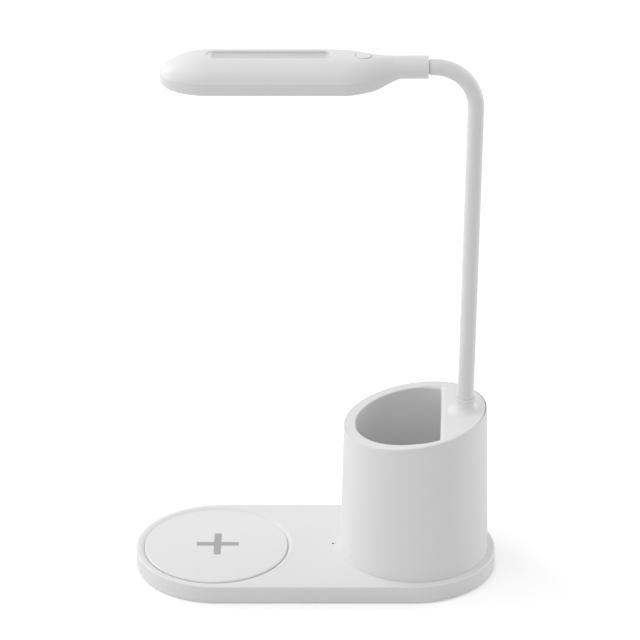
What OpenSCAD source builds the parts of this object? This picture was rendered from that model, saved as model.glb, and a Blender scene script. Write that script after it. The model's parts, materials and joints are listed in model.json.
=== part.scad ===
// Desk lamp on a gooseneck, with a wireless charging pad and a pen cup on its base.
// +Z is up, +X runs from the charging pad to the pen cup, and -Y is the front.
// The origin is on the table, under the middle of the base.

/* [Base] */
// Length of the base from end to end
base_length = 240; // [228:1:270]
// Width of the base, which is also the diameter of its round ends
base_width = 110.6; // [108:0.2:118]
// Height of the base cover, without the feet
base_height = 11.6; // [11:0.1:16]
// Rounding of the base's top edge
base_edge_round = 1; // [0.4:0.1:1.5]
// Thickness of the base cover's side wall
base_wall = 2; // [1.4:0.1:2.6]
// Thickness of the base cover's roof
base_roof = 2; // [1.6:0.1:2.4]
// Thickness of the plate that closes the base from below
floor_thickness = 2.2; // [1.8:0.1:2.6]
// Radius of a rubber foot
foot_radius = 7; // [5:0.5:9]
// How far a foot stands out below the base
foot_proud = 1; // [0.6:0.1:2]
// How deep a foot is let into the floor plate
foot_recess = 0.6; // [0.4:0.1:1]

/* [Charging pad] */
// Radius of the pad disc at its widest
pad_radius = 48.1; // [44:0.1:49]
// Distance from the base's left end to the pad's centre
pad_inset = 53.5; // [53:0.1:56]
// Depth of the groove round the pad
groove_depth = 0.9; // [0.5:0.1:1.2]
// Width of the bevel on the pad's edge
pad_bevel = 1.9; // [1:0.1:3]
// Width of the bevel on the base round the pad
groove_bevel = 2.4; // [1:0.1:2.6]
// Width of the ledge that carries the pad
ledge_reach = 4.1; // [3:0.1:6]
// Thickness of the ledge that carries the pad
ledge_height = 1.4; // [1:0.1:2]
// Length of one bar of the cross mark
cross_length = 28; // [20:1:36]
// Width of one bar of the cross mark
cross_width = 4.8; // [3:0.2:8]
// Depth of the inlaid cross mark
cross_depth = 0.4; // [0.2:0.1:0.8]
// Outer radius of the charging coil
coil_radius = 22; // [18:0.5:24]
// Thickness of the charging coil
coil_height = 1.2; // [0.8:0.1:1.6]

/* [Electrics in the base] */
// Radius of the counterweight
counterweight_radius = 42; // [38:0.5:43]
// Length of the charger board across the base
board_length = 58; // [56:0.5:70]
// Width of the charger board along the base
board_width = 38; // [34:0.5:42]
// Thickness of the charger board
board_thickness = 1.2; // [1:0.1:1.6]
// Height of the posts under the charger board
board_post_height = 1.5; // [1:0.1:2]
// Distance from the cup's foot to the indicator light
light_from_cup = 4.8; // [3.5:0.1:6]
// Radius of the indicator's light pipe
light_radius = 0.6; // [0.5:0.05:1]
// Diameter of the lamp's inner lead
lead_diameter = 2; // [1.6:0.1:2.2]

/* [Pen cup] */
// Distance from the base's right end to the cup's axis
cup_inset = 54.2; // [53:0.1:56]
// Radius of the cup where it stands on the base
cup_foot_radius = 49.3; // [48:0.1:50.2]
// Radius of the cup at the height of its axis point on top
cup_top_radius = 46.8; // [46:0.1:48]
// Height of the cup on its axis, above the base
cup_height = 98.1; // [80:1:120]
// Slope of the cup's top, in degrees
cup_slope = 8.7; // [6:0.1:10]
// Wall of the outer shell
cup_wall = 2.2; // [2:0.1:2.6]
// Thickness of the shell's rim round the top plate
rim_wall = 0.6; // [0.6:0.1:1.1]
// Width of the shadow groove between the rim and the top plate
rim_gap = 0.3; // [0.3:0.1:0.6]
// Thickness of the slanted top plate
plate_thickness = 2; // [1.6:0.1:3]
// Radius of the pen pocket
pocket_radius = 39.7; // [36:0.1:40]
// Wall of the pen pocket
pocket_wall = 1.8; // [1.4:0.1:2]
// Distance from the cup's axis to the pocket's flat wall
pocket_flat = 16.5; // [12:0.1:17.5]
// Turn of the pocket's flat wall about the vertical, in degrees
pocket_flat_turn = 2.7; // [0:0.1:4]
// Thickness of the pocket's floor
pocket_floor = 2; // [1.6:0.1:4]

/* [Neck] */
// Diameter of the gooseneck over its silicone sleeve
neck_diameter = 10.4; // [9.6:0.1:10.8]
// Diameter of the steel tube inside the sleeve
core_diameter = 7; // [6:0.1:7.4]
// Bore of the steel tube
core_bore = 3; // [2.6:0.1:3.4]
// Distance from the cup's axis to the neck's foot
neck_offset = 32.5; // [31.5:0.1:33.4]
// Lean of the neck to the right, in degrees
neck_lean = 0.63; // [0:0.01:1]
// Length of the straight stretch above the boss
neck_rise = 203.8; // [180:0.1:240]
// Radius of the bend at the top, on the tube's axis
bend_radius = 26.4; // [24:0.1:34]
// Length of tube between the last pivot and the head
neck_tail = 7.9; // [7:0.1:14]
// Height of the boss's lip above the slanted plate, on the neck's axis
boss_height = 8.5; // [5.5:0.1:9]
// Radius of the boss's flare on the plate
boss_foot_radius = 13.5; // [11:0.1:14]
// Wall of the boss's lip
boss_lip_wall = 0.4; // [0.3:0.1:1.4]
// Depth of the neck's seat below the lip
neck_seat_depth = 10; // [9:0.1:11]
// Thickness of the shoulder under the neck's seat
neck_shoulder = 4.5; // [3:0.1:6]
// Length of the threaded ferrule below the seat
ferrule_length = 16; // [14:0.5:20]
// Diameter of the threaded ferrule
ferrule_diameter = 8.1; // [7.6:0.1:8.6]
// Width of the neck's nut across its flats
nut_across = 13; // [11:0.5:14]
// Height of the neck's nut
nut_height = 6; // [4:0.5:7]

/* [Lamp head] */
// Length of the head with its neck socket
head_length = 167.3; // [155:0.1:190]
// Width of the head
head_width = 44.8; // [43:0.1:50]
// Length of the rounded far end
nose_length = 30.8; // [24:0.1:34]
// Diameter of the neck socket
socket_diameter = 14.6; // [14:0.1:15.6]
// Length of the straight part of the neck socket
socket_length = 16; // [12:0.1:18]
// Length of the taper between the socket and the full section
taper_length = 42.5; // [38:0.1:50]
// Height of the crown above the neck's axis
crown_above_axis = 8.7; // [8.4:0.1:11]
// Drop of the seam below the neck's axis
seam_below_axis = 3.1; // [2.5:0.1:3.6]
// Height of the lower frame
band_height = 9.1; // [7.4:0.1:10]
// How far the lower frame leans in at its bottom
band_draft = 1; // [0:0.1:1.2]
// Wall of the head's shells
head_wall = 1.8; // [1.5:0.1:2]
// Length of the long recess in the crown
recess_length = 78.1; // [50:0.1:80]
// Width of the long recess
recess_width = 12.8; // [8:0.1:15]
// Depth of the long recess
recess_depth = 2.1; // [1:0.1:2.4]
// Width of the border between the head's side and the light window
window_border = 4.5; // [4:0.1:7]
// Thickness of the diffuser's window, and again of its flange
diffuser_step = 1.1; // [0.9:0.05:1.2]
// Half the width of the board that carries the light-emitting diodes
led_board_radius = 9; // [8:0.1:11]
// How many rows of diodes lie across the board
led_rows = 2; // [1:1:3]
// Spacing of the diodes along the board
led_pitch = 8; // [6:0.5:14]

/* [Power button] */
// Diameter of the power button
button_diameter = 9.6; // [8:0.1:10.2]
// Distance from the socket's mouth to the button
button_from_socket = 40.5; // [40:0.1:42]
// Travel of the power button
button_travel = 0.4; // [0.2:0.05:0.5]
// Clearance round the power button
button_clearance = 0.3; // [0.25:0.01:0.4]
// Side of the square push switch under the button
switch_side = 6; // [5:0.1:6.5]
// Height of the push switch
switch_height = 3.5; // [3:0.1:3.8]

/* [Fasteners and fits] */
// Radius of a screw's shank
screw_radius = 1.2; // [1:0.05:1.4]
// Radius of a screw's head
screw_head_radius = 2.3; // [2:0.1:2.5]
// Height of a screw's head
screw_head_height = 1.2; // [0.9:0.1:1.3]
// Length of a screw's shank
screw_length = 6; // [5:0.5:6.5]
// Radius of a screw boss in the base and in the head
screw_boss_radius = 3; // [2.8:0.1:3.4]
// Gap between neighbouring links of the neck
link_gap = 0.3; // [0.25:0.01:0.4]
// Clearance round a piece that drops into its seat
seat_clearance = 0.15; // [0.1:0.01:0.25]

/* [Hidden] */

$fn = 64;
fine = 128;          // segments of the large circles
overlap = 1;         // how far a cutting shape runs past the face it cuts
big = 400;           // larger than the lamp
thread_play = 0.05;  // radial play of a screw, ferrule or light pipe in its hole

// Heights and centres of the base
base_bottom = foot_proud;
base_top = base_bottom + base_height;
roof_below = base_top - base_roof;
floor_top = base_bottom + floor_thickness;
end_centre = (base_length - base_width) / 2;
pad_x = pad_inset - base_length / 2;
cup_x = base_length / 2 - cup_inset;
pad_hole_radius = pad_radius + seat_clearance;
cross_place = [pad_x + 0.9, 1.4];
cross_corner = 0.8;
coil_eye = 10;
ferrite_radius = coil_radius + 3;
ferrite_height = 0.8;
foot_places = [for (side = [-1, 1], way = [-1, 1])
    [side * (end_centre + 12), way * (base_width / 2 - base_wall - 15.3)]];

// Screw places
screw_ring = base_width / 2 - base_wall - screw_boss_radius - 2;
screw_seat = base_bottom + screw_head_height + 0.1;
middle_screws_back = 39.5;
base_screw_places = concat(
    [for (side = [-1, 1], way = [-1, 1])
        [side * (end_centre + screw_ring * cos(45)), way * screw_ring * sin(45)]],
    [for (way = [-1, 1]) [cup_x - middle_screws_back, way * (screw_ring - 2.3)]]);
cup_boss_radius = 2.6;
cup_boss_height = 12;
cup_boss_ring = cup_foot_radius - cup_wall - 2.1;
cup_screw_places = [for (turn = [60, 130, 230, 300])
    [cup_x + cup_boss_ring * cos(turn), cup_boss_ring * sin(turn)]];

// Electrics in the base
counterweight_height = roof_below - floor_top - lead_diameter - 0.4;
board_x = cup_x - counterweight_radius - 4 - board_width / 2;
board_back = base_width / 2 - base_wall - 3.3;
board_middle = board_back - board_length / 2;
board_bottom = floor_top + board_post_height;
board_top = board_bottom + board_thickness;
board_posts = [for (side = [-1, 1], y = [board_back - board_length + 4, board_back - 12])
    [board_x + side * (board_width / 2 - 4), y]];
usb_size = [8.94, 7.3, 3.26];
usb_wall = 0.3;
usb_face = base_width / 2 - 0.4;
usb_z = board_top + usb_size.z / 2;
light_x = cup_x - cup_foot_radius - light_from_cup;
light_y = 2;
light_chip = [2, 1.2, 0.8];
base_lead_z = roof_below - 0.2 - lead_diameter / 2;
plug_x = board_x + board_width / 2 - 2.5;

// Slope and taper of the cup
slant_z = base_top + cup_height;
taper_rate = (cup_foot_radius - cup_top_radius) / cup_height;
cup_overrun = 25;
cup_tall = cup_height + cup_overrun;
pocket_shift = 0.1;
function slant_at(x) = slant_z + (x - cup_x) * tan(cup_slope);

// The neck's frame has its origin on the boss's lip, and leans with the neck
neck_radius = neck_diameter / 2;
neck_x = cup_x + neck_offset;
neck_root = [neck_x, 0, slant_at(neck_x) + boss_height];
lip_radius = neck_radius + seat_clearance + boss_lip_wall;
lip_height = 0.8;
block_radius = 10;
block_bottom = -neck_seat_depth - neck_shoulder;
ferrule_bottom = -neck_seat_depth - ferrule_length;
ferrule_end = neck_root + ferrule_bottom * aim(neck_lean);

// The neck is a chain of straight links: five pivots on the rise and five round the bend
rise_pivots = 5;
bend_pivots = 5;
first_pivot = 30;
last_pivot_gap = 15.5;
last_link = rise_pivots + bend_pivots;
bend_step = (90 + neck_lean) / bend_pivots;
bend_chord = 2 * bend_radius * tan(bend_step / 2);
pivot_pitch = (neck_rise - first_pivot - last_pivot_gap) / (rise_pivots - 1);
function aim(turn) = [sin(turn), 0, cos(turn)];
function bend_pivot(k) = k <= 0
    ? neck_root + aim(neck_lean) * (neck_rise + bend_chord / 2)
    : bend_pivot(k - 1) + aim(neck_lean - k * bend_step) * bend_chord;
function pivot(i) = i < rise_pivots
    ? neck_root + aim(neck_lean) * (first_pivot + i * pivot_pitch)
    : bend_pivot(i - rise_pivots);
function link_turn(i) = neck_lean - max(0, i - rise_pivots) * bend_step;
socket_depth = 30;
core_tail = 4;
head_origin = pivot(last_link - 1) - [neck_tail, 0, 0];
function link_start(i) = i == 0 ? neck_root - aim(neck_lean) * neck_seat_depth : pivot(i - 1);
function link_length(i) = i == last_link
    ? neck_tail + socket_depth
    : norm(pivot(i) - link_start(i));

// The head's sections: s runs from the socket's mouth to the far end. Each curve of the taper
// starts after its first share of the taper's length, and runs for its second share.
width_curve = [0.08, 0.78];
crown_curve = [0.25, 1.02];
under_curve = [0, 0.47];
crown_nose_power = 1.35;
under_nose_power = 0.34;
socket_radius = socket_diameter / 2;
section_points = 48;
section_turns = [for (i = [0 : section_points - 1]) 360 * i / section_points];
nose_start = head_length - nose_length;
full_width_from = socket_length + taper_length;
taper_end = socket_length + taper_length * (crown_curve[0] + crown_curve[1]);
taper_steps = 16;
taper_stations = [for (i = [0 : taper_steps]) mix(socket_length, taper_end, i / taper_steps)];
function nose_station(turn, inset) = nose_start + (nose_length - inset) * sin(turn);
function smooth(t) = t <= 0 ? 0 : t >= 1 ? 1 : t * t * (3 - 2 * t);
function mix(a, b, t) = a + (b - a) * t;
function curve(s, shares) = smooth(((s - socket_length) / taper_length - shares[0]) / shares[1]);
function widening(s) = curve(s, width_curve);
function deepening(s) = curve(s, under_curve);
function nose_factor(s, inset) = s <= nose_start
    ? 1
    : sqrt(max(0, 1 - pow((s - nose_start) / (nose_length - inset), 2)));
function half_width(s, inset) =
    (mix(socket_radius, head_width / 2, widening(s)) - inset) * nose_factor(s, inset);
function middle(s) = -seam_below_axis * deepening(s);
function crown(s) = mix(socket_radius, crown_above_axis, curve(s, crown_curve));
function rise(s, inset) = (crown(s) - middle(s) - inset) * pow(nose_factor(s, inset), crown_nose_power);
function drop(s, inset) =
    (mix(socket_radius, band_height, deepening(s)) - inset) * pow(nose_factor(s, inset), under_nose_power);
function power_of(value, exponent) = sign(value) * pow(abs(value), exponent);
function section_point(s, inset, turn) =
    let (low = sin(turn) < 0)
    let (bluntness = 2 / (low ? mix(2, 9, deepening(s)) : mix(2, 2.2, widening(s))))
    let (up = power_of(sin(turn), bluntness))
    let (lean_in = low ? band_draft * widening(s) * up * nose_factor(s, inset) : 0)
    [-s,
     -(half_width(s, inset) + lean_in) * power_of(cos(turn), bluntness),
     middle(s) + up * (low ? drop(s, inset) : rise(s, inset))];
function section(s, inset) = [for (turn = section_turns) section_point(s, inset, turn)];

// Pieces in the head, measured from the neck's axis
seam_z = -seam_below_axis;
head_bottom = seam_z - band_height;
window_sink = 0.4;
flange_top = head_bottom + 2 * diffuser_step;
tray_roof = 1;
tray_wall = 0.8;
tray_play = 0.4;
tray_below = seam_z - tray_roof;
led_board_height = 1;
led_size = [3.5, 2.8, 0.7];
led_below = tray_below - led_board_height;
cavity_border = band_draft + 1.5;
window_near = full_width_from + 3.4;
window_far = nose_start - 4;
head_screw_places = [for (s = [window_near + 4, window_far - 2], way = [-1, 1]) [-s, way * 14]];
recess_near = full_width_from + 1.6;
frame_start = full_width_from - 16;
frame_slant = 16;
collar_radius = middle(socket_depth) + rise(socket_depth, head_wall) - 0.1;
button_radius = button_diameter / 2;
button_top = middle(button_from_socket) + rise(button_from_socket, 0);
button_flange_top = button_top - head_wall - 1;
button_flange_height = 0.8;
button_flange_lip = 1.2;
button_post_z = button_flange_top - button_flange_height - 0.6;
plunger_height = 1;
switch_top = button_post_z - button_travel - 0.2 - plunger_height;
switch_board_top = switch_top - switch_height;
switch_board_size = [10, 22, 1];
switch_post_y = 9.2;
switch_post_radius = 1.6;
head_lead_y = -5.8;
head_lead_s = window_near - 5.5;

// ---------- shapes that several pieces share ----------

module stadium(half_straight, radius) {
    square([2 * half_straight, 2 * radius], center = true);
    for (side = [-1, 1]) translate([side * half_straight, 0]) circle(radius);
}

module base_block(inset, bottom, top) {
    translate([0, 0, bottom]) linear_extrude(top - bottom)
        stadium(end_centre, base_width / 2 - inset, $fn = fine);
}

// Half of the base's cross-section, with its rounded top edge
module edge_profile() {
    square([base_width / 2, base_height - base_edge_round]);
    square([base_width / 2 - base_edge_round, base_height]);
    translate([base_width / 2 - base_edge_round, base_height - base_edge_round])
        circle(base_edge_round);
}

module rounded_base() {
    translate([0, 0, base_bottom]) {
        for (side = [-1, 1])
            translate([side * end_centre, 0, 0]) rotate_extrude($fn = fine) edge_profile();
        rotate([90, 0, 90]) linear_extrude(2 * end_centre, center = true) {
            edge_profile();
            mirror([1, 0]) edge_profile();
        }
    }
}

module screw(place, z) {
    translate([place.x, place.y, z]) {
        translate([0, 0, -screw_head_height]) cylinder(h = screw_head_height, r = screw_head_radius);
        cylinder(h = screw_length, r = screw_radius);
    }
}

module screw_hole(place, z) {
    translate([place.x, place.y, z - overlap])
        cylinder(h = screw_length + overlap + 0.5, r = screw_radius + thread_play);
}

// Cone of the cup's outer side, moved in by inset and begun lower by below
module cup_cone(inset, below = 0) {
    foot = cup_foot_radius - inset + taper_rate * below;
    translate([cup_x, 0, base_top - below])
        cylinder(h = cup_tall, r1 = foot, r2 = foot - taper_rate * cup_tall, $fn = fine);
}

// Everything below the slanted top, moved down by sink
module below_slant(sink) {
    translate([cup_x, 0, slant_z]) rotate([0, -cup_slope, 0])
        translate([-big / 2, -big / 2, -sink - big]) cube(big);
}

module above_slant(sink) {
    translate([cup_x, 0, slant_z]) rotate([0, -cup_slope, 0])
        translate([-big / 2, -big / 2, -sink]) cube(big);
}

// The pen pocket: a round well with one flat side
module pocket(wall, bottom) {
    translate([cup_x, 0, bottom]) linear_extrude(cup_tall) intersection() {
        translate([pocket_shift, 0]) circle(pocket_radius + wall, $fn = fine);
        rotate(-pocket_flat_turn)
            translate([pocket_flat + wall - big, -big / 2]) square(big);
    }
}

module at_neck() {
    translate(neck_root) rotate([0, neck_lean, 0]) children();
}

module at_head() {
    translate(head_origin) children();
}

module lead(points) {
    for (i = [0 : len(points) - 2]) {
        run = points[i + 1] - points[i];
        translate(points[i]) rotate([0, acos(run.z / norm(run)), atan2(run.y, run.x)])
            cylinder(h = norm(run), d = lead_diameter, $fn = 24);
        if (i > 0) translate(points[i]) sphere(d = lead_diameter, $fn = 24);
    }
}

// Closed solid through a row of rings that have equally many points
module loft(rings) {
    count = len(rings[0]);
    last = len(rings) - 1;
    polyhedron(
        points = [for (ring = rings) each ring],
        faces = concat(
            [[for (i = [0 : count - 1]) i]],
            [[for (i = [count - 1 : -1 : 0]) last * count + i]],
            [for (j = [0 : last - 1], i = [0 : count - 1])
                let (k = (i + 1) % count)
                each [[j * count + i, (j + 1) * count + i, (j + 1) * count + k],
                      [j * count + i, (j + 1) * count + k, j * count + k]]]));
}

module head_form() {
    nose = [for (turn = [0, 12, 24, 36, 47, 57, 66, 74, 80, 84.5, 87.5]) nose_station(turn, 0)];
    loft([for (s = concat([0], taper_stations, nose)) section(s, 0)]);
}

module head_hollow() {
    taper = [for (s = taper_stations) if (s > socket_depth + 1) s];
    nose = [for (turn = [0, 18, 35, 50, 63, 75, 85]) nose_station(turn, head_wall)];
    loft([for (s = concat([socket_depth], taper, nose)) section(s, head_wall)]);
}

// The stretch of the head that the lower frame fills, with its slanted near end
module frame_region() {
    far = -head_length - overlap;
    under = head_bottom - overlap;
    rotate([90, 0, 0]) linear_extrude(big, center = true)
        polygon([[far, seam_z], [-frame_start, seam_z], [frame_slant - frame_start, under], [far, under]]);
}

// A stadium over the light window, with its border in from the head's side
module head_plate(border, bottom, top) {
    translate([-(window_near + window_far) / 2, 0, bottom]) linear_extrude(top - bottom)
        stadium((window_far - window_near) / 2, head_width / 2 - border);
}

module recess_shape(wall, sink) {
    radius = recess_width / 2;
    translate([-recess_near - recess_length / 2, 0, crown_above_axis - recess_depth - sink])
        linear_extrude(2 * crown_above_axis)
            stadium(recess_length / 2 - radius, radius + wall);
}

// ---------- base ----------

module base_top_cover() {
    color("white") difference() {
        union() {
            difference() {
                rounded_base();
                base_block(base_wall, base_bottom - overlap, roof_below);
            }
            translate([pad_x, 0, roof_below - ledge_height])
                cylinder(h = ledge_height + overlap, r = pad_hole_radius + 1.2, $fn = fine);
            for (place = base_screw_places)
                translate([place.x, place.y, floor_top])
                    cylinder(h = roof_below + overlap / 2 - floor_top, r = screw_boss_radius);
        }
        translate([pad_x, 0, roof_below])
            cylinder(h = base_roof + overlap, r = pad_hole_radius, $fn = fine);
        translate([pad_x, 0, floor_top - overlap])
            cylinder(h = base_height, r = pad_radius - ledge_reach, $fn = fine);
        translate([pad_x, 0, base_top - groove_depth])
            cylinder(h = groove_depth * 1.5, r1 = pad_hole_radius, r2 = pad_hole_radius + groove_bevel * 1.5,
                     $fn = fine);
        for (place = base_screw_places) screw_hole(place, floor_top);
        for (place = cup_screw_places) screw_hole(place, roof_below);
        translate([board_x, base_width / 2, usb_z]) rotate([90, 0, 0])
            linear_extrude(2 * base_wall + 2 * overlap, center = true)
                stadium((usb_size.x - usb_size.z) / 2, usb_size.z / 2 + seat_clearance);
        translate([light_x, light_y, roof_below - overlap])
            cylinder(h = base_roof + 2 * overlap, r = light_radius + thread_play, $fn = 32);
        translate([ferrule_end.x, 0, roof_below - overlap])
            cylinder(h = base_roof + 2 * overlap, r = lead_diameter / 2 + 0.5);
    }
}

module base_bottom_cover() {
    color("gainsboro") difference() {
        union() {
            base_block(base_wall + seat_clearance, base_bottom, floor_top);
            for (place = board_posts)
                translate([place.x, place.y, floor_top - overlap])
                    cylinder(h = board_post_height + overlap, r = 2);
        }
        for (place = base_screw_places) {
            translate([place.x, place.y, base_bottom - overlap])
                cylinder(h = overlap + screw_seat - base_bottom, r = screw_head_radius + 0.2);
            translate([place.x, place.y, base_bottom - overlap])
                cylinder(h = floor_thickness + 2 * overlap, r = screw_radius + 0.2);
        }
        for (place = foot_places)
            translate([place.x, place.y, base_bottom - overlap])
                cylinder(h = overlap + foot_recess, r = foot_radius + seat_clearance);
    }
}

module counterweight() {
    color("dimgray") translate([cup_x, 0, floor_top])
        cylinder(h = counterweight_height, r = counterweight_radius, $fn = fine);
}

module rubber_feet() {
    color("darkgray") for (place = foot_places)
        translate([place.x, place.y, 0]) cylinder(h = base_bottom + foot_recess, r = foot_radius);
}

module base_screws() {
    color("silver") for (place = base_screw_places) screw(place, screw_seat);
}

module cross_shape(bottom, top) {
    translate([cross_place.x, cross_place.y, bottom]) linear_extrude(top - bottom)
        for (turn = [0, 90]) rotate(turn) {
            square([cross_length - 2 * cross_corner, cross_width], center = true);
            square([cross_length, cross_width - 2 * cross_corner], center = true);
            for (x = [-1, 1], y = [-1, 1])
                translate([x * (cross_length / 2 - cross_corner), y * (cross_width / 2 - cross_corner)])
                    circle(cross_corner, $fn = 24);
        }
}

module charging_pad() {
    color("white") difference() {
        translate([pad_x, 0, roof_below]) {
            cylinder(h = base_roof - groove_depth, r = pad_radius, $fn = fine);
            translate([0, 0, base_roof - groove_depth])
                cylinder(h = groove_depth, r1 = pad_radius, r2 = pad_radius - pad_bevel, $fn = fine);
        }
        cross_shape(base_top - cross_depth, base_top + overlap);
    }
}

module plus_mark() {
    color("darkgray") cross_shape(base_top - cross_depth, base_top);
}

module charging_coil() {
    color("chocolate") translate([pad_x, 0, roof_below - coil_height]) difference() {
        cylinder(h = coil_height, r = coil_radius);
        translate([0, 0, -overlap]) cylinder(h = coil_height + 2 * overlap, r = coil_eye);
    }
}

module ferrite_shield() {
    color("dimgray") translate([pad_x, 0, roof_below - coil_height - ferrite_height])
        cylinder(h = ferrite_height, r = ferrite_radius);
}

module charger_board() {
    color("seagreen") {
        translate([board_x, board_middle, board_bottom + board_thickness / 2])
            cube([board_width, board_length, board_thickness], center = true);
        translate([light_x - light_chip.x / 2, light_y - light_chip.y / 2, board_top - overlap / 2])
            cube([light_chip.x, light_chip.y, light_chip.z + overlap / 2]);
        translate([plug_x - 2.5, -3, board_top - overlap / 2])
            cube([5, 6, base_lead_z - lead_diameter / 2 - board_top + overlap / 2]);
        translate([board_x - 12, board_middle - 4, board_top - overlap / 2])
            cube([8, 8, 1 + overlap / 2]);
        translate([board_x - 8, board_middle + 14, board_top - overlap / 2])
            cylinder(h = 2.6 + overlap / 2, r = 4);
    }
}

module usb_c_socket() {
    half_flat = (usb_size.x - usb_size.z) / 2;
    color("silver") translate([board_x, usb_face, usb_z]) rotate([90, 0, 0]) {
        difference() {
            linear_extrude(usb_size.y) stadium(half_flat, usb_size.z / 2);
            translate([0, 0, -overlap]) linear_extrude(usb_size.y + overlap - 0.6)
                stadium(half_flat, usb_size.z / 2 - usb_wall);
        }
        translate([-3.3, -0.35, 1]) cube([6.6, 0.7, usb_size.y - 1.3]);
    }
}

module status_light_pipe() {
    color("lightgray") translate([light_x, light_y, 0]) {
        translate([0, 0, board_top + light_chip.z + 0.3])
            cylinder(h = base_top - board_top - light_chip.z - 0.3, r = light_radius, $fn = 32);
        translate([0, 0, roof_below - 0.8]) cylinder(h = 0.8, r = light_radius + 0.8, $fn = 32);
    }
}

// ---------- pen cup ----------

module cup_shell() {
    color("white") difference() {
        union() {
            difference() {
                intersection() {
                    cup_cone(0);
                    below_slant(0);
                }
                cup_cone(cup_wall, overlap);
            }
            for (place = cup_screw_places)
                translate([place.x, place.y, base_top]) cylinder(h = cup_boss_height, r = cup_boss_radius);
        }
        intersection() {
            cup_cone(rim_wall);
            above_slant(plate_thickness);
        }
        for (place = cup_screw_places) screw_hole(place, roof_below);
    }
}

// The flare rises from the slanted plate to the level lip
function flare_ring(share, sink) =
    let (radius = mix(boss_foot_radius, lip_radius, sin(90 * share)))
    [for (turn = section_turns)
        let (x = neck_x + radius * cos(turn))
        [x, radius * sin(turn), mix(slant_at(x) - sink, neck_root.z - lip_height, 1 - cos(90 * share))]];

module boss_flare() {
    lip = [for (turn = section_turns)
        [neck_x + lip_radius * cos(turn), lip_radius * sin(turn), neck_root.z]];
    loft(concat([flare_ring(0, overlap)], [for (share = [0 : 1 / 6 : 1.01]) flare_ring(share, 0)], [lip]));
}

module cup_liner() {
    color("white") difference() {
        union() {
            intersection() {
                union() {
                    below_slant(0);
                    boss_flare();
                }
                above_slant(plate_thickness);
                cup_cone(rim_wall + rim_gap);
            }
            intersection() {
                union() {
                    pocket(pocket_wall, base_top);
                    at_neck() translate([0, 0, block_bottom]) cylinder(h = -block_bottom, r = block_radius);
                }
                below_slant(plate_thickness / 2);
            }
        }
        pocket(0, base_top + pocket_floor);
        at_neck() {
            translate([0, 0, -neck_seat_depth])
                cylinder(h = neck_seat_depth + overlap, r = neck_radius + seat_clearance);
            translate([0, 0, block_bottom - overlap])
                cylinder(h = neck_shoulder + 2 * overlap, r = ferrule_diameter / 2 + thread_play);
        }
    }
}

module cup_screws() {
    color("silver") for (place = cup_screw_places) screw(place, roof_below);
}

// ---------- neck ----------

module neck_ferrule() {
    color("silver") at_neck() translate([0, 0, ferrule_bottom]) difference() {
        cylinder(h = ferrule_length, d = ferrule_diameter);
        translate([0, 0, -overlap]) cylinder(h = ferrule_length + 2 * overlap, d = core_bore);
    }
}

module neck_nut() {
    color("silver") at_neck() translate([0, 0, block_bottom - nut_height]) difference() {
        cylinder(h = nut_height, d = nut_across / cos(30), $fn = 6);
        translate([0, 0, -overlap])
            cylinder(h = nut_height + 2 * overlap, r = ferrule_diameter / 2 + thread_play);
    }
}

module base_lead() {
    color("dimgray") lead([
        [ferrule_end.x, 0, ferrule_end.z + 4], [ferrule_end.x, 0, base_lead_z],
        [plug_x, 0, base_lead_z]]);
}

module at_link(i) {
    translate(link_start(i)) rotate([0, link_turn(i), 0]) children();
}

// A link's outer form: a rod with a domed top that sits in the next link's hollow foot
module link_form(i) {
    cylinder(h = link_length(i), r = neck_radius);
    if (i < last_link) translate([0, 0, link_length(i)]) sphere(neck_radius);
}

module link_hollow(i, bore) {
    translate([0, 0, -overlap]) cylinder(h = link_length(i) + neck_radius + 2 * overlap, d = bore);
    if (i > 0) sphere(neck_radius + link_gap);
}

module neck_sleeve(i) {
    color("white") at_link(i) difference() {
        link_form(i);
        link_hollow(i, core_diameter);
    }
}

module neck_core(i) {
    reach = link_length(i) + (i == last_link ? core_tail : neck_radius);
    color("silver") at_link(i) difference() {
        intersection() {
            cylinder(h = reach, d = core_diameter);
            union() {
                link_form(i);
                if (i == last_link) cylinder(h = reach, r = neck_radius);
            }
        }
        link_hollow(i, core_bore);
    }
}

// ---------- lamp head ----------

module button_bore(clearance, bottom) {
    translate([-button_from_socket, 0, bottom]) cylinder(h = 2 * crown_above_axis, r = button_radius + clearance);
}

module head_top_shell() {
    color("white") at_head() difference() {
        head_form();
        difference() {
            head_hollow();
            for (place = head_screw_places)
                translate([place.x, place.y, seam_z - overlap])
                    cylinder(h = 2 * crown_above_axis, r = screw_boss_radius);
            for (way = [-1, 1])
                translate([-button_from_socket, way * switch_post_y, switch_board_top])
                    cylinder(h = 2 * crown_above_axis, r = switch_post_radius);
            recess_shape(head_wall, head_wall);
        }
        frame_region();
        recess_shape(0, 0);
        button_bore(button_clearance, button_flange_top);
        for (place = head_screw_places) screw_hole(place, tray_below);
        translate([overlap, 0, 0]) rotate([0, -90, 0])
            cylinder(h = socket_depth + 2 * overlap, r = neck_radius + seat_clearance);
    }
}

module head_lower_frame() {
    color("white") at_head() difference() {
        intersection() {
            head_form();
            frame_region();
        }
        head_hollow();
        head_plate(window_border, head_bottom - overlap, seam_z);
        head_plate(cavity_border, head_bottom + diffuser_step, seam_z + overlap);
    }
}

module diffuser() {
    color("whitesmoke") at_head() {
        head_plate(window_border + seat_clearance, head_bottom + window_sink, head_bottom + 1.5 * diffuser_step);
        head_plate(cavity_border + seat_clearance, head_bottom + diffuser_step, flange_top);
    }
}

module reflector_tray() {
    color("white") at_head() difference() {
        head_plate(cavity_border + tray_play, flange_top, seam_z);
        head_plate(cavity_border + tray_play + tray_wall, flange_top - overlap, tray_below);
        for (place = head_screw_places) screw_hole(place, tray_below);
        translate([-head_lead_s, head_lead_y, tray_below - overlap])
            cylinder(h = tray_roof + 2 * overlap, r = lead_diameter / 2 + 0.3);
    }
}

module led_board() {
    color("lightgray") at_head() head_plate(head_width / 2 - led_board_radius, led_below, tray_below);
}

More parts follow.
